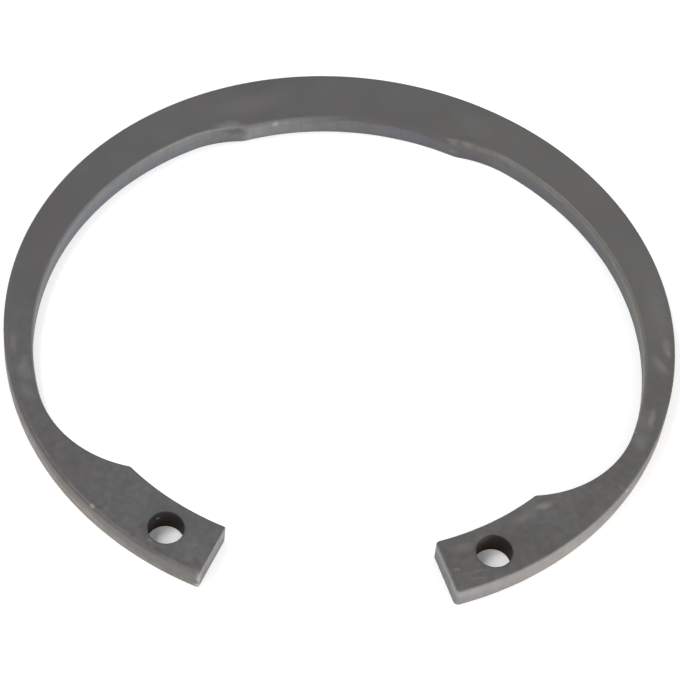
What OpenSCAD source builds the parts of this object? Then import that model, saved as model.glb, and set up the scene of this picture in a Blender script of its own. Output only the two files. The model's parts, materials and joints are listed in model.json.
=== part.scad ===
// Internal retaining ring, or circlip, for the groove of a 47 mm housing bore.
// One piece stamped from spring steel: a wide back, two slimmer sides that
// bend when the ring is squeezed, and two wide lugs with a plier hole each.
// The ring lies flat. Its axis is Z, its underside is at Z = 0, and the gap
// between the lugs opens towards -Y. Angles are in degrees, counted from the
// back, which is at +Y, or from the middle of the gap.

/* [Ring] */
// Outer diameter of the free ring
ring_d = 50.5; // [48:0.1:54]
// Thickness of the strip that the ring is stamped from
ring_t = 1.75; // [1.2:0.05:3]
// Radial width of the back and of the lugs
band_w = 4.55; // [4:0.05:5]

/* [Slim sides] */
// Radial width left beside the arc that hollows out each side
slim_w = 2.35; // [1.8:0.05:3]
// How far the centre of that arc lies from the ring's axis, towards the gap
side_shift = 1.7; // [1:0.1:2.2]
// Angle from the back at which the hollow arc starts
side_start = 33; // [28:1:40]
// Angle from the back at which the hollow arc ends, before the lug
side_end = 107; // [100:1:112]
// Radius of the blends from the hollow arc into the back and into the lug
blend_r = 8.9; // [7:0.1:10]

/* [Lugs] */
// Angle between the two end faces, seen from the ring's axis
gap_angle = 42.3; // [30:0.1:50]
// Diameter of the plier holes
hole_d = 2.6; // [2:0.1:3]
// Distance from a plier hole's centre to the ring's outer edge
hole_edge_w = 2.25; // [2:0.05:2.6]
// Distance from a plier hole's centre to its lug's end face
hole_end_w = 3.8; // [2.5:0.1:5]

/* [Edges] */
// Rounding that the punch leaves along the top edges
top_edge_r = 0.25; // [0.25:0.05:0.6]
// Rounding that tumbling leaves along the bottom edges
bottom_edge_r = 0.05; // [0.05:0.05:0.3]
// Rounding around both mouths of the plier holes
hole_edge_r = 0.1; // [0.05:0.05:0.2]

/* [Hidden] */
ring_r = ring_d / 2;
inner_r = ring_r - band_w;
side_r = ring_r - slim_w;
hole_place_r = ring_r - hole_edge_w;
// Angle from the middle of the gap to a plier hole
hole_angle = gap_angle / 2 + asin(hole_end_w / hole_place_r);
// How far a cutter runs past what it cuts
over = 0.5;
// Turn of a blend's cutter, enough to end inside the inner circle
blend_turn = 90;
// How far a blend's wall reaches past the hollow arc, so that the two walls
// cross where they would only touch
blend_lap = 0.015;
// Turn over which a blend's cutter runs on beside the hollow arc
lap_turn = 8;
// Width of an end cutter, enough for the two to overlap in the middle
end_cut_w = ring_r * sin(gap_angle / 2) + over;
$fn = 180;
// Facets of a small rounding circle
edge_fn = 60;

// What a rounding of radius r takes off a square corner at the origin, whose
// metal lies towards -x and -y
module edge_waste(r) {
    difference() {
        translate([-r, -r]) square(r + over);
        translate([-r, -r]) circle(r = r, $fn = edge_fn);
    }
}

// Section of a cutter whose wall stands at x = wall. It widens at both faces of
// the ring, and so leaves them round edges
module cut_section(wall, top_r, bottom_r) {
    translate([0, -over]) square([wall, ring_t + 2 * over]);
    translate([wall, ring_t]) mirror([1, 0]) edge_waste(top_r);
    translate([wall, 0]) mirror([1, 0]) mirror([0, 1]) edge_waste(bottom_r);
}

// Round disc with its outer edges rounded
module blank() {
    rotate_extrude() difference() {
        square([ring_r, ring_t]);
        translate([ring_r, ring_t]) edge_waste(top_edge_r);
        translate([ring_r, 0]) mirror([0, 1]) edge_waste(bottom_edge_r);
    }
}

// Cutter of radius r, turned between two angles counted from the back
module arc_cut(r, from, to) {
    rotate_extrude(angle = to - from, start = 90 - to)
        cut_section(r, top_edge_r, bottom_edge_r);
}

// Cutter of the blend that meets the hollow arc at the angle at
module blend_cut(at, from, to) {
    rotate(-at) translate([0, side_r - blend_r + blend_lap]) rotate(at)
        arc_cut(blend_r, from, to);
}

// Hollow of the right side, with its two blends
module side_cut() {
    translate([0, -side_shift]) {
        arc_cut(side_r, side_start, side_end);
        blend_cut(side_start, side_start - blend_turn, side_start + lap_turn);
        blend_cut(side_end, side_end - lap_turn, side_end + blend_turn);
    }
}

// Right half of the gap: the end face lies on a line through the ring's axis
module end_cut() {
    rotate(gap_angle / 2) translate([-end_cut_w, -inner_r / 2, 0])
        rotate([90, 0, 0]) linear_extrude(ring_r)
            cut_section(end_cut_w, top_edge_r, bottom_edge_r);
}

// Plier hole of the right lug
module plier_hole() {
    rotate(hole_angle) translate([0, -hole_place_r])
        rotate_extrude() cut_section(hole_d / 2, hole_edge_r, hole_edge_r);
}

module retaining_ring() {
    color("#5f5f60") difference() {
        blank();
        rotate_extrude() cut_section(inner_r, top_edge_r, bottom_edge_r);
        for (left = [0, 1]) mirror([left, 0, 0]) {
            side_cut();
            end_cut();
            plier_hole();
        }
    }
}

retaining_ring();
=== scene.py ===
# %% [markdown]
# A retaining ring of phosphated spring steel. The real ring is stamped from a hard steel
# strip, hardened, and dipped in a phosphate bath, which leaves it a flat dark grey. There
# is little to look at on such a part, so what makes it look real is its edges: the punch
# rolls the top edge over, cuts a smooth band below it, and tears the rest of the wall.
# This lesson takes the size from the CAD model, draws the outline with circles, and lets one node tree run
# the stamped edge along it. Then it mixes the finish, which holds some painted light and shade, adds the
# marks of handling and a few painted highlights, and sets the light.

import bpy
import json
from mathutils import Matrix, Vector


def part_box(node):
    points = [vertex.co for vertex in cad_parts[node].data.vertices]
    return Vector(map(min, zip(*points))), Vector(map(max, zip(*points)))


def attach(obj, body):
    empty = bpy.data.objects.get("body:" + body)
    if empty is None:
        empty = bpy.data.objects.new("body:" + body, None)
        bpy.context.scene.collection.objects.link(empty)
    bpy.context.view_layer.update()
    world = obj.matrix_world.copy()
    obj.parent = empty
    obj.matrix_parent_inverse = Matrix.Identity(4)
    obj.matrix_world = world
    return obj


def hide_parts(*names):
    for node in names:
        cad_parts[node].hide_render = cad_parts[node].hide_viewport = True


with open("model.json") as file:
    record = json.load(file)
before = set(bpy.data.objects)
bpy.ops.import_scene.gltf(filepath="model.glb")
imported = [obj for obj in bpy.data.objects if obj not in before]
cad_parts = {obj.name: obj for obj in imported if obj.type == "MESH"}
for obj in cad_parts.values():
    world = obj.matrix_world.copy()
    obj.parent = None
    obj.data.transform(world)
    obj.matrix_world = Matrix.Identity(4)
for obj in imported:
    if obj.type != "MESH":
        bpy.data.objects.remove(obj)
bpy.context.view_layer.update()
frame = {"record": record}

# %% [markdown]
# Two helpers serve the whole lesson. Colours are written as they are seen on a screen, as
# hex numbers, and Blender computes with linear light, so one function translates. Nodes
# are added by one more function, which sets a node's own settings and fills its inputs
# with values or with links, so that a tree reads from top to bottom like a recipe.

# %% Helpers for colours and nodes
import json
import math

import bpy
from mathutils import Matrix, Vector

MM = 0.001


def linear(hex_colour):
    """A colour as it is seen, such as "#5f5f60", as linear RGBA."""
    parts = [int(hex_colour[i:i + 2], 16) / 255 for i in (1, 3, 5)]
    return [p / 12.92 if p <= 0.04045 else ((p + 0.055) / 1.055) ** 2.4 for p in parts] + [1]


def add(tree, kind, inputs=None, **settings):
    """Adds a node. inputs maps a socket's name or number to a value, or to what feeds it."""
    node = tree.nodes.new(kind)
    for name, value in settings.items():
        setattr(node, name, value)
    for key, value in (inputs or {}).items():
        by_name = (socket for socket in node.inputs if socket.enabled and socket.name == key)
        socket = node.inputs[key] if isinstance(key, int) else next(by_name)
        if isinstance(value, bpy.types.Node):
            value = next(output for output in value.outputs if output.enabled)
        if isinstance(value, bpy.types.NodeSocket):
            tree.links.new(value, socket)
        else:
            socket.default_value = value
    return node


print("phosphate grey in linear light:", [round(x, 3) for x in linear("#5f5f60")])

# %% [markdown]
# The camera stands where the photographer's stood, as far as the photo tells. It was fitted
# to the outlines of the ring and of its holes: from a camera at a slant, each circle is
# seen as an ellipse of its own width, height and tilt. A photo gives only proportions, so
# the millimetres rest on the diameter that was assumed for the ring. The lens is long, so
# the ring is hardly distorted. A mark is placed by following the ray of its pixel.

# %% Camera
PHOTO_SIDE_PX = 680
FOCAL_PX = 3067.79
SENSOR_MM = 36
CAMERA_MM = Vector((-6.649, -143.565, 182.01))
AIM_MM = Vector((0.028, -0.344, 0))
ROLL_RAD = 0.1096

ahead = (AIM_MM - CAMERA_MM).normalized()
level_right = ahead.cross(Vector((0, 0, 1))).normalized()
level_up = level_right.cross(ahead)
right = math.cos(ROLL_RAD) * level_right + math.sin(ROLL_RAD) * level_up
up = -math.sin(ROLL_RAD) * level_right + math.cos(ROLL_RAD) * level_up

camera = bpy.data.objects.new("photo_camera", bpy.data.cameras.new("photo_camera"))
camera.data.sensor_width = SENSOR_MM
camera.data.lens = FOCAL_PX * SENSOR_MM / PHOTO_SIDE_PX
camera.data.clip_start = 0.01
camera.location = CAMERA_MM * MM
camera.rotation_euler = Matrix((right, up, -ahead)).transposed().to_euler()
bpy.context.scene.collection.objects.link(camera)
bpy.context.scene.camera = camera


def under_pixel(x_px, y_px, height_mm):
    """The point in mm, on the level plane at that height, that a pixel of the photo shows."""
    middle = PHOTO_SIDE_PX / 2
    ray = ahead + right * (x_px - middle) / FOCAL_PX + up * (middle - y_px) / FOCAL_PX
    return CAMERA_MM + ray * (height_mm - CAMERA_MM.z) / ray.z


print(f"lens {camera.data.lens:.1f} mm, camera {CAMERA_MM.length:.0f} mm from the ring")

# %% [markdown]
# The outline holds only circles and two straight end faces, as on the punch that stamps
# it. The ring's radius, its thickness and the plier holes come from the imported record, and
# most other sizes are repeated from the CAD source. Only the last few are this scene's own,
# and were matched to the photo from render to render: the lugs' corners and the shoulders,
# which the CAD solid leaves sharp, are rounded here, and a lug's root is where its bright
# outer wall starts.

# %% Sizes in mm and radians
mounts = {mount["name"]: mount for mount in frame["record"]["mounts"]}
RING_R = mounts["groove_rim"]["dims"]["r_mm"]
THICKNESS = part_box("retaining_ring")[1].z / MM
HOLES = [mounts[name] for name in ("plier_hole_right", "plier_hole_left")]
INNER_R = RING_R - 4.55
SIDE_R = RING_R - 2.35
SIDE_SHIFT = 1.7
SIDE_START, SIDE_END = math.radians(33), math.radians(107)
BLEND_R = 8.9
END_ANGLE = math.radians(180 - 42.3 / 2)
LUG_ROOT = math.radians(137)
# Each lug's corner at the outer circle, and its corner at the inner circle
CORNER_RADII = {"right": (0.35, 0.32), "left": (0.16, 0.12)}
LUG_SHOULDER_R = 0.36
BACK_SHOULDER_R = 3.0
print(f"ring {2 * RING_R} mm across and {THICKNESS:.2f} mm thick, {len(HOLES)} plier holes")

# %% [markdown]
# Every arc is a centre, a radius and two angles, counted from the ring's back, clockwise. A
# point of it is its centre plus the radius times (sine, cosine) of its angle. Each corner
# is a small arc that touches both of its neighbours. A shoulder, where a blend runs out
# into the inner circle, has its centre where both circles would cross if they were larger
# by the shoulder's radius. A lug corner's centre lies one corner radius inside the end face
# and one inside, or outside, of the circle. Moved into the metal, corners get smaller, but
# never quite sharp.

# %% Arcs and corners
QUARTER = math.pi / 2
HALF = math.pi
ORIGIN = Vector((0, 0))
SHARPEST_R = 0.04


def polar(angle, radius=1.0, centre=ORIGIN):
    return centre + radius * Vector((math.sin(angle), math.cos(angle)))


def arc(centre, radius, start, end, steps):
    """Points of an arc, at even steps, without its last point."""
    return [polar(start + (end - start) * i / steps, radius, centre) for i in range(steps)]


def shoulder(blend_centre, radius, side):
    """A shoulder's centre, and its angles seen from the ring's axis and from the blend."""
    far, near = BLEND_R + radius, INNER_R + radius
    apart = blend_centre.length
    along = (near ** 2 - far ** 2 + apart ** 2) / (2 * apart)
    aside = math.sqrt(near ** 2 - along ** 2) * side
    towards = blend_centre.normalized()
    centre = towards * along + Vector((towards.y, -towards.x)) * aside
    away = centre - blend_centre
    return centre, math.atan2(centre.x, centre.y), math.atan2(away.x, away.y) % math.tau


def lug_corner(circle_r, side, inset, radius):
    """A lug's plan corner inside (-1) or outside (1) of a circle: centre, radius and angle."""
    corner_r = max(radius - inset, SHARPEST_R)
    reach = circle_r + side * corner_r
    in_from_end = inset + corner_r
    along_end = polar(END_ANGLE) * math.sqrt(reach ** 2 - in_from_end ** 2)
    centre = along_end - polar(END_ANGLE + QUARTER, in_from_end)
    return centre, corner_r, math.atan2(centre.x, centre.y)


hollow = Vector((0, -SIDE_SHIFT))
lug_blend = polar(SIDE_END, SIDE_R - BLEND_R, hollow)
back_blend = polar(SIDE_START, SIDE_R - BLEND_R, hollow)
lug_shoulder, lug_ring, lug_turn = shoulder(lug_blend, LUG_SHOULDER_R, 1)
back_shoulder, back_ring, back_turn = shoulder(back_blend, BACK_SHOULDER_R, -1)
shoulder_angles = [round(math.degrees(angle), 1) for angle in (back_ring, lug_ring)]
print("shoulders, in degrees from the back:", shoulder_angles)

# %% [markdown]
# Now the stretches are strung together. An arc's radius takes an inset, so the same
# function also draws the outline a little way into the metal, and the way from the one to
# the other is the direction in which the edge rolls over at each point. Each stretch
# carries the names of the places where it starts and ends, because the edge doesn't look
# the same all the way round. The left half is drawn as the right one is, then mirrored and
# run backwards, but its lug's corners are less worn.

# %% Outline
TOP_INSET = 0.3
FACE_STEPS = 24


def half_outline(inset, corner_radii):
    """Stretches of one half, moved inset into the metal: the two places and the points of each.

    They run from the outer middle of the back round the lug to the inner middle of the back.
    """
    outer_r, inner_r, blend_r = RING_R - inset, INNER_R + inset, BLEND_R + inset
    outer, outer_corner_r, outer_turn = lug_corner(outer_r, -1, inset, corner_radii[0])
    inner, inner_corner_r, inner_turn = lug_corner(inner_r, 1, inset, corner_radii[1])
    out_of_end = END_ANGLE + QUARTER
    face = [polar(out_of_end, outer_corner_r, outer), polar(out_of_end, inner_corner_r, inner)]
    return [
        ("back outer", "side outer", arc(ORIGIN, outer_r, 0, QUARTER, 220)),
        ("side outer", "lug root", arc(ORIGIN, outer_r, QUARTER, LUG_ROOT, 116)),
        ("lug root", "lug outer", arc(ORIGIN, outer_r, LUG_ROOT, outer_turn, 52)),
        ("lug outer", "end outer", arc(outer, outer_corner_r, outer_turn, out_of_end, 9)),
        ("end outer", "end inner", [face[0].lerp(face[1], i / FACE_STEPS) for i in range(FACE_STEPS)]),
        ("end inner", "lug inner", arc(inner, inner_corner_r, out_of_end, inner_turn + HALF, 9)),
        ("lug inner", "lug inner", arc(ORIGIN, inner_r, inner_turn, lug_ring, 44)),
        ("lug inner", "lug inner",
         arc(lug_shoulder, LUG_SHOULDER_R - inset, lug_ring + HALF, lug_turn + HALF, 7)),
        ("lug inner", "hollow", arc(lug_blend, blend_r, lug_turn, SIDE_END, 62)),
        ("hollow", "hollow", arc(hollow, SIDE_R + inset, SIDE_END, SIDE_START, 164)),
        ("hollow", "shoulder", arc(back_blend, blend_r, SIDE_START, back_turn, 28)),
        ("shoulder", "back side",
         arc(back_shoulder, BACK_SHOULDER_R - inset, back_turn + HALF, back_ring + HALF, 9)),
        ("back side", "back inner", arc(ORIGIN, inner_r, back_ring, 0, 46)),
        ("back inner", "back inner", [polar(0, inner_r)]),
    ]


def ring_outline(inset):
    """Points of the whole outline, and for each its side, its two places and its share of the way."""
    halves = {}
    for side, corner_radii in CORNER_RADII.items():
        halves[side] = [(point, (side, start, end, i / len(stretch)))
                        for start, end, stretch in half_outline(inset, corner_radii)
                        for i, point in enumerate(stretch)]
    back_round = [(Vector((-point.x, point.y)), place) for point, place in halves["left"][-2:0:-1]]
    whole = halves["right"] + back_round
    return [point for point, _ in whole], [place for _, place in whole]


foot, places = ring_outline(0)
top, _ = ring_outline(TOP_INSET)
inward = [(t - f) / TOP_INSET for f, t in zip(foot, top)]
perimeter = sum((a - b).length for a, b in zip(foot, foot[1:] + foot[:1]))
print(f"{len(foot)} points; perimeter {perimeter:.1f} mm")

# %% [markdown]
# No two walls of the ring look alike. The outer ones have been rubbed bright in the tumbling
# drum, the inner ones have kept more of their grey coat, and the punch was blunter in some
# places than in others. So each named place gets a finish: how far the top edge is rolled
# over, how far below the top the pale wall starts and over what depth it does so, how deep
# the cut band goes, and the colours of the cut band above and of the torn band below.
# Between two places the values blend, and the outline's points store the result for the node tree and the
# material. They were matched to the photo from render to render, but the outer wall at the back isn't seen
# there, so its two rows are guesses. Matched that way, the bands' colours hold painted light and shade as
# well as the coat's wear and tone. This makes some walls paler and others darker than the lamps alone would.
# The dark cut bands on the shoulders and the back's inner walls paint shade over the rolled edge, where it
# would catch the light. A plier hole has a finish of its own: its rim at the back is painted dark right from
# the top, as painted shade of the hole, while the front rim stays grey. Sizes are in mm.

# %% Edge finishes
# Painted light and shade: these colours were matched wall by wall. Besides the coat's tone they make some
# walls paler and others darker, and the dark cut bands of the shoulders and the back's inner walls are
# painted shade on the rolled edge
# Rollover, start of the pale wall, its fade, depth of the cut band, and the bands' colours
FINISHES = {
    ("right", "back outer"): (0.20, 0.02, 0.06, 0.9, "#7a7876", "#757372"),
    ("right", "side outer"): (0.18, 0.05, 0.25, 0.9, "#453f36", "#6a6457"),
    ("right", "lug root"): (0.18, 0.00, 0.16, 0.7, "#8d8986", "#96928c"),
    ("right", "lug outer"): (0.16, 0.03, 0.18, 0.7, "#8c8b8b", "#838180"),
    ("right", "end outer"): (0.12, 0.00, 0.04, 0.4, "#888986", "#717272"),
    ("right", "end inner"): (0.12, 0.00, 0.04, 0.4, "#7e807e", "#696a6b"),
    ("right", "lug inner"): (0.16, 0.04, 0.08, 0.7, "#777675", "#737373"),
    ("right", "hollow"): (0.24, 0.00, 0.03, 0.35, "#6e6b67", "#5f6162"),
    ("right", "shoulder"): (0.20, 0.01, 0.08, 0.3, "#575453", "#5a595b"),
    ("right", "back side"): (0.12, 0.00, 0.03, 0.4, "#545251", "#5c5c61"),
    ("right", "back inner"): (0.14, 0.00, 0.03, 0.25, "#575555", "#646466"),
    ("left", "back outer"): (0.20, 0.02, 0.06, 0.9, "#7a7876", "#757372"),
    ("left", "side outer"): (0.28, 0.05, 0.60, 0.70, "#56514c", "#86817c"),
    ("left", "lug root"): (0.26, 0.00, 0.30, 0.62, "#6f6b67", "#87827e"),
    ("left", "lug outer"): (0.25, 0.04, 0.60, 1.00, "#6e6b68", "#7c7a76"),
    ("left", "end outer"): (0.12, 0.01, 0.04, 0.6, "#7a7978", "#6f6f6f"),
    ("left", "end inner"): (0.12, 0.00, 0.04, 0.6, "#808182", "#757677"),
    ("left", "lug inner"): (0.16, 0.04, 0.08, 0.7, "#777675", "#737373"),
    ("left", "hollow"): (0.25, 0.00, 0.03, 0.6, "#717272", "#696d71"),
    ("left", "shoulder"): (0.25, 0.02, 0.10, 0.3, "#605f5f", "#656465"),
    ("left", "back side"): (0.20, 0.02, 0.50, 1.2, "#7e7d7d", "#767b7c"),
    ("left", "back inner"): (0.14, 0.00, 0.04, 0.25, "#575556", "#646466"),
}


def finish_at(side, start, end, share):
    """The finish part of the way between two places, with its two colours in linear light."""
    pair = FINISHES[side, start], FINISHES[side, end]
    sizes = [a + share * (b - a) for a, b in zip(pair[0][:4], pair[1][:4])]
    hexes = zip(pair[0][4:], pair[1][4:])
    tones = [Vector(linear(a)).lerp(Vector(linear(b)), share) for a, b in hexes]
    return sizes, tones


HOLE_ROUNDING = 0.15
GREY_RIM = 0.12


def hole_finish_and_shade(turn):
    """A plier hole's finish: painted dark right from the rim at the back, as painted shade of the hole, and
    grey round its front rim.
    """
    front = 0.5 - 0.5 * math.cos(turn)
    return [HOLE_ROUNDING, 0.002 + GREY_RIM * front, 0.015, 0.9], [Vector(linear("#333130"))] * 2


finishes = [finish_at(*place) for place in places]
print(f"rollover from {min(s[0] for s, _ in finishes)} to {max(s[0] for s, _ in finishes)} mm")

# %% [markdown]
# The node tree needs something to grow from. A mesh of bare edges is enough: one closed
# loop of points for the outline and one for each plier hole, with all values that differ
# from point to point stored as attributes.

# %% Outline mesh
HOLE_STEPS = 72
loops = [(foot, inward, finishes, 0.0)]
for hole in HOLES:
    centre = Vector(hole["pos_m"][:2]) / MM
    turns = [-math.tau * i / HOLE_STEPS for i in range(HOLE_STEPS)]
    rim = [polar(turn, hole["dims"]["r_mm"], centre) for turn in turns]
    hole_looks = [hole_finish_and_shade(turn) for turn in turns]
    loops.append((rim, [polar(turn) for turn in turns], hole_looks, 1.0))

outline = bpy.data.meshes.new("ring_outline")
spots, edges = [], []
for points, *_ in loops:
    first = len(spots)
    spots += [(p.x * MM, p.y * MM, 0) for p in points]
    edges += [(first + i, first + (i + 1) % len(points)) for i in range(len(points))]
outline.from_pydata(spots, edges, [])

ways = [x for _, directions, *_ in loops for d in directions for x in (d.x, d.y, 0)]
outline.attributes.new("inward", "FLOAT_VECTOR", "POINT").data.foreach_set("vector", ways)
holes = [is_hole for points, _, _, is_hole in loops for _ in points]
outline.attributes.new("hole", "FLOAT", "POINT").data.foreach_set("value", holes)
for number, name in enumerate(("rollover", "pale_from", "pale_fade", "cut_depth")):
    values = [sizes[number] * MM for *_, looks, _ in loops for sizes, _ in looks]
    outline.attributes.new(name, "FLOAT", "POINT").data.foreach_set("value", values)
for number, name in enumerate(("cut_band_and_painted_light", "torn_band_and_painted_light")):
    colours = [x for *_, looks, _ in loops for _, tones in looks for x in tones[number]]
    outline.attributes.new(name, "FLOAT_COLOR", "POINT").data.foreach_set("color", colours)
ring = bpy.data.objects.new("phosphated_ring", outline)
bpy.context.scene.collection.objects.link(ring)
print(f"outline mesh: {len(spots)} points in {len(loops)} loops")

# %% [markdown]
# Edges are what tell a stamped part from a cast or a milled one. From the top face down,
# the metal first bends over into the die clearance, then comes a smooth band that the
# punch has cut, then a torn band with a slightly uneven wall, and at the foot a small burr
# that tumbling has rounded. A bevel would make the edge alike all the way round, while rows
# of points can follow the values that the outline stores. So the tree starts from the
# outline as bare loops of edges, and a repeat zone extrudes them once for each row of the
# edge's section, and writes the row's number on the new points.

# %% Rows of the section
ROLL_ROWS, WALL_ROWS, FOOT_ROWS = 6, 14, 3
ROLL_END = 1 + ROLL_ROWS
WALL_END = ROLL_END + WALL_ROWS
FOOT_END = WALL_END + FOOT_ROWS
LAST_ROW = FOOT_END + 1


def grow_rows(tree, loops_in):
    """Extrudes the newest loops LAST_ROW times. Every point keeps its row number."""
    start = add(tree, "GeometryNodeStoreNamedAttribute", {"Geometry": loops_in, "Name": "row"})
    zone_in = add(tree, "GeometryNodeRepeatInput")
    zone_out = add(tree, "GeometryNodeRepeatOutput")
    zone_in.pair_with_output(zone_out)
    zone_in.inputs["Iterations"].default_value = LAST_ROW
    tree.links.new(start.outputs[0], zone_in.inputs["Geometry"])
    row = add(tree, "GeometryNodeInputNamedAttribute", {"Name": "row"}, data_type="FLOAT")
    this_row = zone_in.outputs["Iteration"]
    newest = add(tree, "FunctionNodeCompare", {"A": row, "B": this_row, "Epsilon": 0.1},
                 operation="EQUAL")
    grown = add(tree, "GeometryNodeExtrudeMesh",
                {"Mesh": zone_in.outputs["Geometry"], "Selection": newest, "Offset Scale": 0.0},
                mode="EDGES")
    next_row = add(tree, "ShaderNodeMath", {0: this_row, 1: 1.0}, operation="ADD")
    marked = add(tree, "GeometryNodeStoreNamedAttribute",
                 {"Geometry": grown.outputs["Mesh"], "Selection": grown.outputs["Top"], "Name": "row",
                  "Value": next_row})
    tree.links.new(marked.outputs[0], zone_out.inputs["Geometry"])
    return zone_out.outputs["Geometry"]


print(f"section: {LAST_ROW + 1} rows of points")

# %% [markdown]
# Then one Set Position puts all rows in place. How far a point lies in from the outline
# and how high it stands is worked out from its row's number: first a quarter circle for
# the rollover, then the straight wall, then a quarter circle for the foot. Map Range does
# most of that sum, because it turns one run of numbers into another and its ends can be
# fed by sizes.

# %% Section of the edge
def section_height(tree, row, roll, given):
    """Height of a row: the thickness less what rollover, wall and foot have used up."""
    bend = add(tree, "ShaderNodeMapRange", {0: row, 1: 1.0, 2: ROLL_END, 3: 0.0, 4: QUARTER})
    cosine = add(tree, "ShaderNodeMath", {0: bend}, operation="COSINE")
    rolled = add(tree, "ShaderNodeMapRange", {0: cosine, 3: roll, 4: 0.0})
    wall_and_foot = add(tree, "ShaderNodeMath", {0: given["Thickness"], 1: roll}, operation="SUBTRACT")
    wall_tall = add(tree, "ShaderNodeMath", {0: wall_and_foot, 1: given["Foot rounding"]},
                    operation="SUBTRACT")
    wall = add(tree, "ShaderNodeMapRange", {0: row, 1: ROLL_END, 2: WALL_END, 3: 0.0, 4: wall_tall})
    foot_bend = add(tree, "ShaderNodeMapRange", {0: row, 1: WALL_END, 2: FOOT_END, 3: 0.0, 4: QUARTER})
    sine = add(tree, "ShaderNodeMath", {0: foot_bend}, operation="SINE")
    rounded = add(tree, "ShaderNodeMath", {0: sine, 1: given["Foot rounding"]}, operation="MULTIPLY")
    fallen = add(tree, "ShaderNodeMath", {0: rolled, 1: wall}, operation="ADD")
    fallen = add(tree, "ShaderNodeMath", {0: fallen, 1: rounded}, operation="ADD")
    return add(tree, "ShaderNodeMath", {0: given["Thickness"], 1: fallen}, operation="SUBTRACT")


def section_inset(tree, row, roll, height, given):
    """How far in a row lies: rollover, foot, the flat margin beside them, and the torn wall."""
    bend = add(tree, "ShaderNodeMapRange", {0: row, 1: 1.0, 2: ROLL_END, 3: 0.0, 4: QUARTER})
    sine = add(tree, "ShaderNodeMath", {0: bend}, operation="SINE")
    rolled = add(tree, "ShaderNodeMapRange", {0: sine, 3: roll, 4: 0.0})
    foot_bend = add(tree, "ShaderNodeMapRange", {0: row, 1: WALL_END, 2: FOOT_END, 3: 0.0, 4: QUARTER})
    cosine = add(tree, "ShaderNodeMath", {0: foot_bend}, operation="COSINE")
    rounded = add(tree, "ShaderNodeMapRange", {0: cosine, 3: given["Foot rounding"], 4: 0.0})
    top_margin = add(tree, "ShaderNodeMapRange", {0: row, 3: given["Flat margin"], 4: 0.0})
    foot_margin = add(tree, "ShaderNodeMapRange", {0: row, 1: FOOT_END, 2: LAST_ROW, 4: given["Flat margin"]})
    where = add(tree, "GeometryNodeInputPosition")
    lift = add(tree, "ShaderNodeCombineXYZ", {"Z": height})
    spot = add(tree, "ShaderNodeVectorMath", {0: where, 1: lift}, operation="ADD")
    tears = add(tree, "ShaderNodeTexNoise",
                {"Vector": spot, "W": given["Seed"], "Scale": given["Tear scale"], "Detail": 2.0},
                noise_dimensions="4D")
    torn_from = add(tree, "ShaderNodeMath", {0: given["Thickness"], 1: given["Torn share"]},
                    operation="MULTIPLY")
    torn_depth = add(tree, "ShaderNodeMapRange",
                     {0: height, 1: torn_from, 2: 0.0, 4: given["Torn depth"]})
    torn = add(tree, "ShaderNodeMath", {0: torn_depth, 1: tears}, operation="MULTIPLY")
    total = rolled
    for part in (rounded, top_margin, foot_margin, torn):
        total = add(tree, "ShaderNodeMath", {0: total, 1: part}, operation="ADD")
    return total


print(f"rows: {ROLL_ROWS} in the rollover, {WALL_ROWS} down the wall, {FOOT_ROWS} round the foot")

# %% [markdown]
# The whole tree is short now: grow the rows, place them, fill the loops of the first and
# of the last row to make the flat faces, and join. Filling works on curves, so the loop of
# the first row is turned into curves first, and the two small circles become the holes.
# Extruded walls come out facing inwards here, so they are flipped, and so is the underside.

# %% Ring tree
def flat_face(tree, rows, at_row):
    """Fills the loops of one row. The outer loop is the rim, and the two inside it stay open."""
    row = add(tree, "GeometryNodeInputNamedAttribute", {"Name": "row"}, data_type="FLOAT")
    chosen = add(tree, "FunctionNodeCompare", {"A": row, "B": float(at_row), "Epsilon": 0.1},
                 operation="EQUAL")
    line = add(tree, "GeometryNodeMeshToCurve", {"Mesh": rows, "Selection": chosen})
    return add(tree, "GeometryNodeFillCurve", {"Curve": line}, mode="TRIANGLES")


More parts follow.
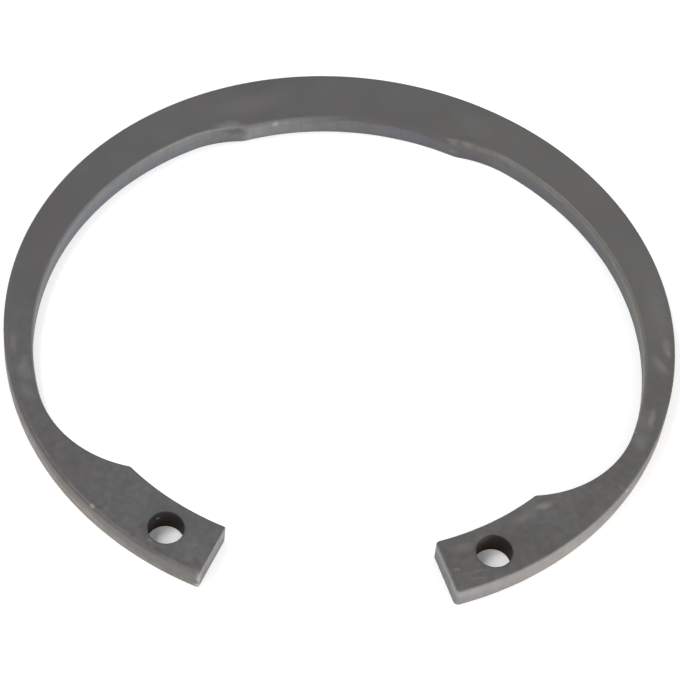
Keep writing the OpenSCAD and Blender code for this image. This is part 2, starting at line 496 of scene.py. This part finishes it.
def stamped_ring_tree():
    """Node tree that grows the ring from its outline. Its sizes are inputs in metres."""
    tree = bpy.data.node_groups.new("stamped_ring", "GeometryNodeTree")
    tree.is_modifier = True
    tree.interface.new_socket("Outline", in_out="INPUT", socket_type="NodeSocketGeometry")
    for name in ("Thickness", "Foot rounding", "Flat margin", "Torn share", "Torn depth",
                 "Tear scale", "Seed"):
        tree.interface.new_socket(name, in_out="INPUT", socket_type="NodeSocketFloat")
    tree.interface.new_socket("Finish", in_out="INPUT", socket_type="NodeSocketMaterial")
    tree.interface.new_socket("Ring", in_out="OUTPUT", socket_type="NodeSocketGeometry")
    given = add(tree, "NodeGroupInput").outputs

    rows = grow_rows(tree, given["Outline"])
    row = add(tree, "GeometryNodeInputNamedAttribute", {"Name": "row"}, data_type="FLOAT")
    roll = add(tree, "GeometryNodeInputNamedAttribute", {"Name": "rollover"}, data_type="FLOAT")
    inward_way = add(tree, "GeometryNodeInputNamedAttribute", {"Name": "inward"}, data_type="FLOAT_VECTOR")
    height = section_height(tree, row, roll, given)
    inset = section_inset(tree, row, roll, height, given)
    sideways = add(tree, "ShaderNodeVectorMath", {"Vector": inward_way, "Scale": inset}, operation="SCALE")
    lift = add(tree, "ShaderNodeCombineXYZ", {"Z": height})
    offset = add(tree, "ShaderNodeVectorMath", {0: sideways, 1: lift}, operation="ADD")
    placed = add(tree, "GeometryNodeSetPosition", {"Geometry": rows, "Offset": offset})
    walls = add(tree, "GeometryNodeFlipFaces", {"Mesh": placed})

    top_lift = add(tree, "ShaderNodeCombineXYZ", {"Z": given["Thickness"]})
    top_face = add(tree, "GeometryNodeSetPosition",
                   {"Geometry": flat_face(tree, placed, 0), "Offset": top_lift})
    underside = add(tree, "GeometryNodeFlipFaces", {"Mesh": flat_face(tree, placed, LAST_ROW)})
    joined = add(tree, "GeometryNodeJoinGeometry", {"Geometry": walls})
    for face in (top_face, underside):
        tree.links.new(face.outputs[0], joined.inputs[0])
    merged = add(tree, "GeometryNodeMergeByDistance", {"Geometry": joined, "Distance": 0.002 * MM})
    smooth = add(tree, "GeometryNodeSetShadeSmooth", {"Geometry": merged})
    real = add(tree, "GeometryNodeRealizeInstances", {"Geometry": smooth})
    painted = add(tree, "GeometryNodeSetMaterial", {"Geometry": real, "Material": given["Finish"]})
    add(tree, "NodeGroupOutput", {0: painted})
    return tree


ring_tree = stamped_ring_tree()
print(f"ring tree: {len(ring_tree.nodes)} nodes")

# %% [markdown]
# Phosphated and oiled spring steel is not bare metal. The bath turns the surface into a felt of tiny
# crystals, grey and matt, and the oil in it darkens it and gives it a soft sheen. What shows on the flat
# faces is a faint cloudiness of the bath, a little warmer in one place and cooler in the next. Towards the
# lugs, where the ring is handled with pliers, it gets more stained. Across the ring the flat faces are also
# painted a little lighter towards the right, as painted light. Clouds, tints, stains and crystals are noise
# on the ring's own coordinates, because noise in space has no seams and its scale can be given in mm.

# %% Flat faces
CLOUD_MM, TINT_MM, STAIN_MM = 6.0, 2.2, 0.5
# Real crystals are about 0.01 mm and too fine to show, so they are drawn much coarser
CRYSTAL_MM = 0.15


def bath_colour(tree, place):
    """Colour of the flat faces: a painted light that grows towards the right, the bath's clouds and tints,
    stains, and crystals.
    """
    across = add(tree, "ShaderNodeSeparateXYZ", {0: place})
    # Painted light: the flat faces turn a little lighter towards the right
    painted_light_rightwards = add(tree, "ShaderNodeMapRange", {0: across.outputs["X"], 1: -14 * MM, 2: 16 * MM},
                    interpolation_type="SMOOTHSTEP")
    colour = add(tree, "ShaderNodeMix", {"Factor": painted_light_rightwards, "A": linear("#605e5f"),
                                         "B": linear("#636261")}, data_type="RGBA")
    tints = add(tree, "ShaderNodeTexNoise",
                {"Vector": place, "W": 2.0, "Scale": 1 / (TINT_MM * MM), "Detail": 2.0},
                noise_dimensions="4D")
    warm = add(tree, "ShaderNodeMapRange", {0: tints, 1: 0.50, 2: 0.72, 4: 0.6},
               interpolation_type="SMOOTHSTEP")
    cool = add(tree, "ShaderNodeMapRange", {0: tints, 1: 0.48, 2: 0.30, 4: 0.6},
               interpolation_type="SMOOTHSTEP")
    colour = add(tree, "ShaderNodeMix", {"Factor": warm, "A": colour, "B": linear("#64615e")},
                 data_type="RGBA")
    colour = add(tree, "ShaderNodeMix", {"Factor": cool, "A": colour, "B": linear("#5f6262")},
                 data_type="RGBA")

    clouds = add(tree, "ShaderNodeTexNoise",
                 {"Vector": place, "W": 1.0, "Scale": 1 / (CLOUD_MM * MM), "Detail": 3.0},
                 noise_dimensions="4D")
    cloudy = add(tree, "ShaderNodeMapRange", {0: clouds, 1: 0.3, 2: 0.7, 3: 0.93, 4: 1.07})
    stains = add(tree, "ShaderNodeTexNoise",
                 {"Vector": place, "W": 3.0, "Scale": 1 / (STAIN_MM * MM), "Detail": 3.0},
                 noise_dimensions="4D")
    dark = add(tree, "ShaderNodeMapRange",
               {0: across.outputs["Y"], 1: 8 * MM, 2: -14 * MM, 3: 0.99, 4: 0.86})
    light = add(tree, "ShaderNodeMapRange",
                {0: across.outputs["Y"], 1: 8 * MM, 2: -14 * MM, 3: 1.01, 4: 1.13})
    stained = add(tree, "ShaderNodeMapRange", {0: stains, 1: 0.3, 2: 0.7, 3: dark, 4: light})
    crystals = add(tree, "ShaderNodeTexNoise",
                   {"Vector": place, "W": 4.0, "Scale": 1 / (CRYSTAL_MM * MM)}, noise_dimensions="4D")
    grainy = add(tree, "ShaderNodeMapRange", {0: crystals, 1: 0.3, 2: 0.7, 3: 0.98, 4: 1.02})
    for shade in (cloudy, stained, grainy):
        colour = add(tree, "ShaderNodeMix", {"Factor": 1.0, "A": colour, "B": shade}, data_type="RGBA",
                     blend_type="MULTIPLY")
    return colour


print(f"clouds {CLOUD_MM} mm, tints {TINT_MM} mm, stains {STAIN_MM} mm, crystals {CRYSTAL_MM} mm")

# %% [markdown]
# The walls take their two colours from the outline's points. The depth below the top says where on the wall a
# spot is: the cut band starts where the point says, and passes into the torn band along a ragged line. Noise
# that is drawn out upwards gives the fine upright scores that the punch leaves, and a slow change between
# cool and warm keeps a long wall from looking painted. The plier holes' walls are painted nearly black, as
# painted shade inside the holes, and turn brown towards the foot.

# %% Walls
BORDER_MM, BLOTCH_MM, TEMPER_MM, FILM_MM = 1.2, 0.7, 1.0, 0.8
# Real scores are finer than 0.05 mm, so these are drawn coarser, to show at all
SCORE_MM = 0.14


def wall_share(tree, height, depth):
    """0 on the flat faces and 1 on the walls, with the start and the fade that the points store."""
    start = add(tree, "ShaderNodeAttribute", attribute_name="pale_from").outputs["Fac"]
    fade = add(tree, "ShaderNodeAttribute", attribute_name="pale_fade").outputs["Fac"]
    below = add(tree, "ShaderNodeMath", {0: depth, 1: start}, operation="SUBTRACT")
    share = add(tree, "ShaderNodeMath", {0: below, 1: fade}, operation="DIVIDE")
    above_foot = add(tree, "ShaderNodeMapRange", {0: height, 1: 0.0, 2: 0.02 * MM})
    soft = add(tree, "ShaderNodeMapRange", {0: share}, interpolation_type="SMOOTHSTEP")
    return add(tree, "ShaderNodeMath", {0: soft, 1: above_foot}, operation="MULTIPLY")


def wall_colour(tree, place, depth):
    """Colour of the walls: cut band, torn band, blotches, upright scores and faint tints."""
    # The band colours hold painted light and shade as well as each band's own tone
    cut = add(tree, "ShaderNodeAttribute", attribute_name="cut_band_and_painted_light").outputs["Color"]
    torn = add(tree, "ShaderNodeAttribute", attribute_name="torn_band_and_painted_light").outputs["Color"]
    ragged = add(tree, "ShaderNodeTexNoise",
                 {"Vector": place, "W": 5.0, "Scale": 1 / (BORDER_MM * MM), "Detail": 3.0},
                 noise_dimensions="4D")
    wander = add(tree, "ShaderNodeMapRange", {0: ragged, 1: 0.3, 2: 0.7, 3: 0.7, 4: 1.3})
    cut_depth = add(tree, "ShaderNodeAttribute", attribute_name="cut_depth").outputs["Fac"]
    border = add(tree, "ShaderNodeMath", {0: cut_depth, 1: wander}, operation="MULTIPLY")
    fade_to = add(tree, "ShaderNodeMath", {0: border, 1: 1.8}, operation="MULTIPLY")
    share = add(tree, "ShaderNodeMapRange", {0: depth, 1: border, 2: fade_to},
                interpolation_type="SMOOTHSTEP")
    colour = add(tree, "ShaderNodeMix", {"Factor": share, "A": cut, "B": torn}, data_type="RGBA")
    blotches = add(tree, "ShaderNodeTexNoise",
                   {"Vector": place, "W": 6.0, "Scale": 1 / (BLOTCH_MM * MM), "Detail": 2.0},
                   noise_dimensions="4D")
    upright = add(tree, "ShaderNodeMapping", {"Vector": place, "Scale": (1.0, 1.0, 0.06)})
    scores = add(tree, "ShaderNodeTexNoise",
                 {"Vector": upright, "W": 7.0, "Scale": 1 / (SCORE_MM * MM)}, noise_dimensions="4D")
    both = add(tree, "ShaderNodeMath", {0: blotches, 1: scores}, operation="ADD")
    shade = add(tree, "ShaderNodeMapRange", {0: both, 1: 0.6, 2: 1.4, 3: 0.90, 4: 1.16})
    temper = add(tree, "ShaderNodeTexNoise",
                 {"Vector": place, "W": 11.0, "Scale": 1 / (TEMPER_MM * MM)}, noise_dimensions="4D")
    warmth = add(tree, "ShaderNodeMapRange", {0: temper, 1: 0.3, 2: 0.7})
    tint = add(tree, "ShaderNodeMix", {"Factor": warmth, "A": linear("#f8f9ff"),
                                       "B": linear("#fffaf4")}, data_type="RGBA")
    for factor in (shade, tint):
        colour = add(tree, "ShaderNodeMix", {"Factor": 1.0, "A": colour, "B": factor},
                     data_type="RGBA", blend_type="MULTIPLY")
    return colour


def painted_hole_shade(tree, place, height):
    """Colour of the plier holes' walls: nearly black as painted shade in the holes, and brown near the foot.
    """
    film = add(tree, "ShaderNodeTexNoise",
               {"Vector": place, "W": 8.0, "Scale": 1 / (FILM_MM * MM), "Detail": 2.0},
               noise_dimensions="4D")
    wander = add(tree, "ShaderNodeMapRange", {0: film, 3: -0.8 * MM, 4: 0.8 * MM})
    moved = add(tree, "ShaderNodeMath", {0: height, 1: wander}, operation="ADD")
    share = add(tree, "ShaderNodeMapRange", {0: moved, 1: 1.1 * MM, 2: 0.4 * MM},
                interpolation_type="SMOOTHSTEP")
    return add(tree, "ShaderNodeMix", {"Factor": share, "A": linear("#312f2f"), "B": linear("#372a1e")},
               data_type="RGBA")


cut_depths = [look[3] for look in FINISHES.values()]
print(f"cut band {min(cut_depths)} to {max(cut_depths)} mm deep, scores {SCORE_MM} mm across")

# %% [markdown]
# Rings rub against each other in their box, and that leaves light smears where the coat is worn through to
# the steel, and dark ones of old oil. Not all the light marks are wear. Along the rolled edges of the
# shoulders they are painted highlights as well as wear. The pale line down the left lug's corner is a painted
# highlight, and so is the glint inside the left plier hole. These aren't random: each one is put where the
# photo shows it. A mark is a streak between two pixels of the photo, at a height in mm on the ring, with its
# half width and half height in mm and its strength. The two lists go round the ring from the left of its
# back.

# %% Places of the marks
TOP = THICKNESS
# Start pixel, end pixel, height, half width, half height, strength
RUBBED_AND_HIGHLIGHTS = [
    # Left shoulder and back; along the rolled edge these are painted highlights as well as wear
    ((217, 126), (243, 125), TOP, 0.45, 0.30, 0.17),
    ((226, 123), (238, 123), TOP, 0.35, 0.30, 0.14),
    ((203, 134), (218, 129), TOP - 0.3, 0.20, 0.30, 0.10),
    ((251, 131), (264, 128), TOP - 0.4, 0.20, 0.30, 0.16),
    ((275, 125), (277, 125), TOP - 0.4, 0.22, 0.38, 0.46),
    ((284, 123), (288, 123), TOP - 0.4, 0.20, 0.30, 0.12),
    ((215, 112), (285, 95), TOP, 1.3, 0.30, 0.06),
    # Right shoulder; along the rolled edge these are painted highlights as well as wear
    ((448, 140), (457, 141), TOP, 0.34, 0.34, 0.16),
    ((450, 142), (458, 144), 1.5, 0.26, 0.28, 0.14),
    ((460, 145), (474, 149), 1.5, 0.22, 0.28, 0.12),
    ((474, 149), (492, 154), 1.5, 0.20, 0.28, 0.07),
    ((463, 143), (472, 145), TOP, 0.30, 0.30, 0.15),
    ((472, 146), (488, 151), TOP, 0.24, 0.30, 0.10),
    ((488, 151), (508, 158), TOP, 0.20, 0.30, 0.06),
    ((451, 150), (458, 150), 0.6, 0.30, 0.30, 0.12),
    ((465, 118), (485, 130), TOP, 1.3, 0.30, 0.03),
    # Right side
    ((653, 290), (664, 335), TOP, 1.0, 0.30, 0.07),
    ((666, 341), (667, 353), TOP, 0.42, 0.20, 0.16),
    ((668, 350), (669, 356), TOP, 0.28, 0.20, 0.22),
    ((655, 359), (665, 372), TOP, 0.46, 0.20, 0.17),
    ((653, 411), (650, 428), TOP, 0.36, 0.20, 0.24),
    ((644, 414), (642, 428), TOP, 0.70, 0.20, 0.09),
    ((641, 436), (640, 447), TOP, 0.65, 0.20, 0.14),
    ((636, 431), (636, 432), TOP, 0.11, 0.20, 0.35),
    ((621, 487), (626, 489), TOP, 0.24, 0.20, 0.12),
    ((626, 490), (628, 491), TOP - 0.4, 0.17, 0.28, 0.75),
    # Right lug
    ((538, 508), (549, 504), TOP, 0.34, 0.30, 0.26),
    ((512, 524), (537, 509), TOP, 0.50, 0.30, 0.12),
    ((520, 505), (534, 499), TOP, 0.60, 0.30, 0.06),
    ((457, 549), (470, 546), TOP, 0.50, 0.30, 0.12),
    ((454, 569), (459, 569), TOP, 0.10, 0.20, 0.20),
    ((466, 574), (490, 569), TOP, 0.12, 0.20, 0.10),
    ((470, 580), (488, 577), TOP, 0.12, 0.20, 0.10),
    ((478, 541), (486, 538), 1.5, 0.45, 0.45, 0.10),
    # Left side
    ((13, 333), (13, 351), TOP, 0.34, 0.20, 0.11),
    ((26, 358), (20, 372), TOP, 0.45, 0.20, 0.12),
    ((24, 368), (27, 375), TOP, 0.75, 0.20, 0.10),
    ((24, 385), (32, 398), TOP, 0.65, 0.20, 0.10),
    ((45, 335), (60, 380), TOP, 0.60, 0.20, 0.04),
    ((91, 506), (94, 508), TOP - 0.1, 0.15, 0.25, 0.60),
    # Left lug
    ((166, 559), (192, 575), TOP, 0.32, 0.30, 0.10),
    ((190, 575), (195, 579), TOP - 0.1, 0.25, 0.30, 0.22),
    # Painted highlight: a pale line down the lug's corner, and a spot at its foot
    ((198, 573), (199, 582), 1.0, 0.20, 0.75, 0.60),
    ((196, 585), (200, 586), 0.2, 0.25, 0.28, 0.80),
    # Painted light: a glint on the wall inside the left plier hole, and a faint speck beside it
    ((157, 518), (158, 518), 1.2, 0.11, 0.12, 0.75),
    ((153, 522), (154, 522), 1.05, 0.14, 0.14, 0.14),
    ((149, 540), (151, 541), TOP, 0.16, 0.20, 0.16),
    ((185, 535), (192, 550), TOP, 1.2, 0.30, 0.05),
]
OILED = [
    # Left shoulder and back
    ((224, 132), (249, 130), 1.25, 0.28, 0.36, 0.34),
    ((240, 132), (250, 131), 1.0, 0.26, 0.36, 0.30),
    ((288, 117), (304, 115), TOP, 0.22, 0.20, 0.10),
    # Right shoulder
    ((447, 135), (486, 143), TOP, 0.30, 0.20, 0.08),
    ((465, 151), (478, 154), 1.2, 0.25, 0.30, 0.20),
    ((497, 160), (511, 167), 1.2, 0.22, 0.30, 0.16),
    # Right side
    ((617, 272), (619, 275), TOP, 0.22, 0.20, 0.30),
    ((659, 380), (658, 406), TOP, 0.70, 0.20, 0.08),
    ((650, 400), (570, 530), TOP, 3.0, 0.40, 0.12),
    ((600, 490), (572, 520), TOP, 1.4, 0.40, 0.15),
    # Right lug
    ((545, 560), (560, 548), TOP, 0.34, 0.20, 0.12),
    ((560, 540), (445, 570), TOP, 3.0, 0.40, 0.16),
    # Left side
    ((60, 160), (12, 320), TOP, 3.0, 0.40, 0.09),
    ((23, 338), (23, 347), TOP, 0.40, 0.20, 0.12),
    ((19, 397), (21, 402), TOP, 0.24, 0.20, 0.22),
    ((38, 410), (41, 414), TOP, 0.24, 0.20, 0.18),
    ((50, 426), (53, 430), TOP, 0.28, 0.20, 0.14),
    ((14, 380), (80, 480), TOP, 2.5, 0.40, 0.12),
    # Left lug
    ((146, 545), (172, 558), TOP, 0.36, 0.25, 0.24),
    ((172, 558), (190, 566), TOP, 0.26, 0.25, 0.16),
    ((194, 558), (199, 567), TOP, 0.35, 0.25, 0.28),
]
print(f"{len(RUBBED_AND_HIGHLIGHTS)} rubbed marks and {len(OILED)} oiled ones")

# %% [markdown]
# The marks could be painted on a picture, but then the ring would have to be unwrapped, and
# a mark that runs over an edge would be cut in two. Ovals in space need neither. A Mapping
# node of the texture kind turns a mark's long oval into a ball of radius 1, so a spot's
# distance from the middle tells how strongly it is marked. A little noise on the place makes
# the ovals ragged.

# %% Marks of handling and painted highlights
RAGGED_MM, RAGGED_BY_MM = 0.5, 0.35
RUBBED_AND_HIGHLIGHT_COLOUR, OILED_COLOUR = "#b9b6b0", "#38322c"


def marked_share(tree, place, marks):
    """How strongly a spot is marked, from 0 to 1, by the strongest mark that reaches it."""
    strongest = 0.0
    for start_px, end_px, mark_height, half_width, half_height, strength in marks:
        start = under_pixel(*start_px, mark_height)
        end = under_pixel(*end_px, mark_height)
        along = end - start
        half_sizes = Vector((along.length / 2 + half_width, half_width, half_height))
        oval = add(tree, "ShaderNodeMapping",
                   {"Vector": place, "Location": (start + end) / 2 * MM,
                    "Rotation": (0, 0, math.atan2(along.y, along.x)), "Scale": half_sizes * MM},
                   vector_type="TEXTURE")
        distance = add(tree, "ShaderNodeVectorMath", {0: oval}, operation="LENGTH")
        share = add(tree, "ShaderNodeMapRange", {0: distance, 1: 0.1, 2: 1.25, 3: strength, 4: 0.0},
                    interpolation_type="SMOOTHSTEP")
        strongest = add(tree, "ShaderNodeMath", {0: strongest, 1: share}, operation="MAXIMUM")
    return strongest


def marked(tree, place, colour):
    """The colour with the light smears, the painted highlights and the dark stains on it."""
    ragged = add(tree, "ShaderNodeTexNoise",
                 {"Vector": place, "W": 12.0, "Scale": 1 / (RAGGED_MM * MM)}, noise_dimensions="4D")
    push = add(tree, "ShaderNodeVectorMath", {0: ragged.outputs["Color"], 1: (0.5, 0.5, 0.5)},
               operation="SUBTRACT")
    push = add(tree, "ShaderNodeVectorMath", {"Vector": push, "Scale": RAGGED_BY_MM * MM},
               operation="SCALE")
    shaken = add(tree, "ShaderNodeVectorMath", {0: place, 1: push}, operation="ADD")
    oil = marked_share(tree, shaken, OILED)
    colour = add(tree, "ShaderNodeMix", {"Factor": oil, "A": colour, "B": linear(OILED_COLOUR)},
                 data_type="RGBA")
    worn_and_highlit = marked_share(tree, shaken, RUBBED_AND_HIGHLIGHTS)
    return add(tree, "ShaderNodeMix", {"Factor": worn_and_highlit, "A": colour, "B": linear(RUBBED_AND_HIGHLIGHT_COLOUR)},
               data_type="RGBA")


print(f"worn through to {RUBBED_AND_HIGHLIGHT_COLOUR}, stained to {OILED_COLOUR}, ragged by {RAGGED_BY_MM} mm")

# %% [markdown]
# All of it meets in one material. The felt of crystals scatters light and the steel under
# it reflects, so the shader is set half way to metal, and rather rough. The oil in the
# plier holes is old and dull, so they are rougher still. A fine bump breaks up the sheen:
# crystals on the flat faces, upright scores on the walls.

# %% Phosphated spring steel
SHEEN_MM = 2.0
# As coarse as the crystals and the scores above, for the same reason
BUMP_MM = 0.16


def phosphated_spring_steel():
    """Spring steel with a phosphate coat and a film of oil: dark, matt, and softly shining."""
    material = bpy.data.materials.new("phosphated_spring_steel")
    material.use_nodes = True
    tree = material.node_tree
    shader = tree.nodes["Principled BSDF"]
    place = add(tree, "ShaderNodeTexCoord").outputs["Object"]
    height = add(tree, "ShaderNodeSeparateXYZ", {0: place}).outputs["Z"]
    hole = add(tree, "ShaderNodeAttribute", attribute_name="hole").outputs["Fac"]
    depth = add(tree, "ShaderNodeMath", {0: THICKNESS * MM, 1: height}, operation="SUBTRACT")
    share = wall_share(tree, height, depth)
    walls = add(tree, "ShaderNodeMix", {"Factor": hole, "A": wall_colour(tree, place, depth),
                                        "B": painted_hole_shade(tree, place, height)}, data_type="RGBA")
    colour = add(tree, "ShaderNodeMix", {"Factor": share, "A": bath_colour(tree, place),
                                         "B": walls}, data_type="RGBA")
    colour = marked(tree, place, colour)
    tree.links.new(colour.outputs[2], shader.inputs["Base Color"])
    shader.inputs["Metallic"].default_value = 0.5
    patches = add(tree, "ShaderNodeTexNoise",
                  {"Vector": place, "W": 9.0, "Scale": 1 / (SHEEN_MM * MM)}, noise_dimensions="4D")
    rough = add(tree, "ShaderNodeMapRange", {0: patches, 1: 0.3, 2: 0.7, 3: 0.50, 4: 0.58})
    rougher = add(tree, "ShaderNodeMath", {0: hole, 1: 0.3}, operation="MULTIPLY")
    rough = add(tree, "ShaderNodeMath", {0: rough, 1: rougher}, operation="ADD")
    tree.links.new(rough.outputs[0], shader.inputs["Roughness"])
    squeeze = add(tree, "ShaderNodeMapRange", {0: share, 3: 1.0, 4: 0.1})
    stretched = add(tree, "ShaderNodeCombineXYZ", {"X": 1.0, "Y": 1.0, "Z": squeeze})
    fine_place = add(tree, "ShaderNodeVectorMath", {0: place, 1: stretched}, operation="MULTIPLY")
    grain = add(tree, "ShaderNodeTexNoise",
                {"Vector": fine_place, "W": 10.0, "Scale": 1 / (BUMP_MM * MM)}, noise_dimensions="4D")
    bump = add(tree, "ShaderNodeBump", {"Strength": 0.2, "Distance": 0.01 * MM, "Height": grain})
    tree.links.new(bump.outputs[0], shader.inputs["Normal"])
    return material


steel = phosphated_spring_steel()
print(f"{steel.name}: {len(steel.node_tree.nodes)} nodes")

# %% [markdown]
# Now the tree gets its sizes and grows the ring. A modifier's inputs are set by the
# sockets' identifiers, and the result is taken over as a plain mesh, which other programs
# can read too. The ring then takes the place of the plain CAD solid.

# %% Grow the ring
# A tear scale of 1400 to the metre makes the tears about 0.7 mm long
sizes = {"Thickness": THICKNESS * MM, "Foot rounding": 0.05 * MM, "Flat margin": 0.06 * MM,
         "Torn share": 0.6, "Torn depth": 0.03 * MM, "Tear scale": 1400.0, "Seed": 7.0,
         "Finish": steel}
grow = ring.modifiers.new("stamped_ring", "NODES")
grow.node_group = ring_tree
for socket in ring_tree.interface.items_tree:
    if socket.in_out == "INPUT" and socket.name in sizes:
        grow[socket.identifier] = sizes[socket.name]

depsgraph = bpy.context.evaluated_depsgraph_get()
grown_ring = ring.evaluated_get(depsgraph)
solid = bpy.data.meshes.new_from_object(grown_ring, preserve_all_data_layers=True, depsgraph=depsgraph)
ring.modifiers.remove(grow)
ring.data = solid
for name in ("row", "inward", "rollover"):
    solid.attributes.remove(solid.attributes[name])
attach(ring, "root")
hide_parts("retaining_ring")
print(f"ring mesh: {len(solid.vertices)} points, {len(solid.polygons)} faces")

# %% [markdown]
# The ring lies on a white sheet that runs out of the picture. Seen by the lens, and seen in the steel, the
# sheet glows a little, so that it comes out white without more light on the ring. The light that it throws
# back on to the ring has none of that glow. The ring's shadow stays on the sheet, most clearly in the plier
# holes, where the light falls in from the left. Under each hole the glow is held back on the left and grows
# towards the right, which paints a shadow on the sheet over the real one.

# %% Floor
FLOOR_HALF = 1.5
GLOW = 0.29
# In radii of a plier hole: where the painted shadow on the sheet ends all round, and from how far left to how
# far right of the hole's axis it grows light
SPOT_END = (1.1, 1.4)
SPOT_LIT = (-0.55, 0.5)
floor_mesh = bpy.data.meshes.new("floor")
corners = [(x * FLOOR_HALF, y * FLOOR_HALF, -0.01 * MM) for x, y in ((-1, -1), (1, -1), (1, 1), (-1, 1))]
floor_mesh.from_pydata(corners, [], [(0, 1, 2, 3)])
floor = bpy.data.objects.new("floor", floor_mesh)
bpy.context.scene.collection.objects.link(floor)

paper = bpy.data.materials.new("white_paper")
paper.use_nodes = True
sheet = paper.node_tree
sheet.nodes.clear()


def glow_beside_painted_shadow(tree, place, hole):
    """1 on the open sheet, and under a plier hole 0 on the left that rises to 1 on the right, which paints a
    shadow into the glow.
    """
    centre = Vector((*hole["pos_m"][:2], 0))
    radius = hole["dims"]["r_mm"] * MM
    apart = add(tree, "ShaderNodeVectorMath", {0: place, 1: centre}, operation="SUBTRACT")
    distance = add(tree, "ShaderNodeVectorMath", {0: apart}, operation="LENGTH")
    outside = add(tree, "ShaderNodeMapRange", {0: distance, 1: SPOT_END[0] * radius, 2: SPOT_END[1] * radius})
    across = add(tree, "ShaderNodeSeparateXYZ", {0: apart}).outputs["X"]
    lit = add(tree, "ShaderNodeMapRange", {0: across, 1: SPOT_LIT[0] * radius, 2: SPOT_LIT[1] * radius})
    return add(tree, "ShaderNodeMath", {0: outside, 1: lit}, operation="MAXIMUM")


ray = add(sheet, "ShaderNodeLightPath").outputs
seen = add(sheet, "ShaderNodeMath", {0: ray["Is Camera Ray"], 1: ray["Is Glossy Ray"]}, operation="MAXIMUM")
seen = add(sheet, "ShaderNodeMath", {0: seen, 1: ray["Is Transmission Ray"]}, operation="MAXIMUM")
strength = add(sheet, "ShaderNodeMath", {0: seen, 1: GLOW}, operation="MULTIPLY")
on_sheet = add(sheet, "ShaderNodeTexCoord").outputs["Object"]
for hole in HOLES:
    strength = add(sheet, "ShaderNodeMath", {0: strength, 1: glow_beside_painted_shadow(sheet, on_sheet, hole)},
                   operation="MULTIPLY")
# Uncoated paper is quite matt, so it has no gloss at all
matt = add(sheet, "ShaderNodeBsdfDiffuse", {"Color": linear("#fafafa")})
glow = add(sheet, "ShaderNodeEmission", {"Color": linear("#ffffff"), "Strength": strength})
both = add(sheet, "ShaderNodeAddShader", {0: matt, 1: glow})
add(sheet, "ShaderNodeOutputMaterial", {"Surface": both})
floor_mesh.materials.append(paper)
print(f"floor {2 * FLOOR_HALF} m wide, glow {GLOW}")

# %% [markdown]
# The light is soft and comes from all round. A large lamp low in front, on the right, lights
# the walls that face it more than the top, which is why the ring's right wall is the palest.
# A weak one on the left keeps the other walls from going dark, and one high on the left
# reaches the sheet under the plier holes. A lamp's level says how bright a white card that
# faces it gets, where 1 is white.

# %% Light
WORLD_LEVEL = 0.6
world = bpy.data.worlds.new("studio")
bpy.context.scene.world = world
world.use_nodes = True
world.node_tree.nodes["Background"].inputs["Color"].default_value = linear("#ffffff")
world.node_tree.nodes["Background"].inputs["Strength"].default_value = WORLD_LEVEL


def soft_box(name, azimuth_deg, elevation_deg, level, side=0.5, distance=0.8):
    """A square lamp that faces the ring. The azimuth counts from the front towards the right."""
    azimuth, elevation = math.radians(azimuth_deg), math.radians(elevation_deg)
    flat = math.cos(elevation)
    way = Vector((math.sin(azimuth) * flat, -math.cos(azimuth) * flat, math.sin(elevation)))
    lamp = bpy.data.objects.new(name, bpy.data.lights.new(name, "AREA"))
    lamp.data.size = side
    lamp.data.energy = level * (math.pi * distance) ** 2
    lamp.location = way * distance
    lamp.rotation_euler = way.to_track_quat("Z", "Y").to_euler()
    bpy.context.scene.collection.objects.link(lamp)
    return lamp


lamps = [soft_box("front_right_light", 50, 22, 0.6), soft_box("front_left_light", -40, 22, 0.2),
         soft_box("high_left_light", -110, 62, 0.27, side=0.25)]
bpy.context.scene.view_settings.view_transform = "Standard"
print("lamps:", [(lamp.name, round(lamp.data.energy, 2)) for lamp in lamps])
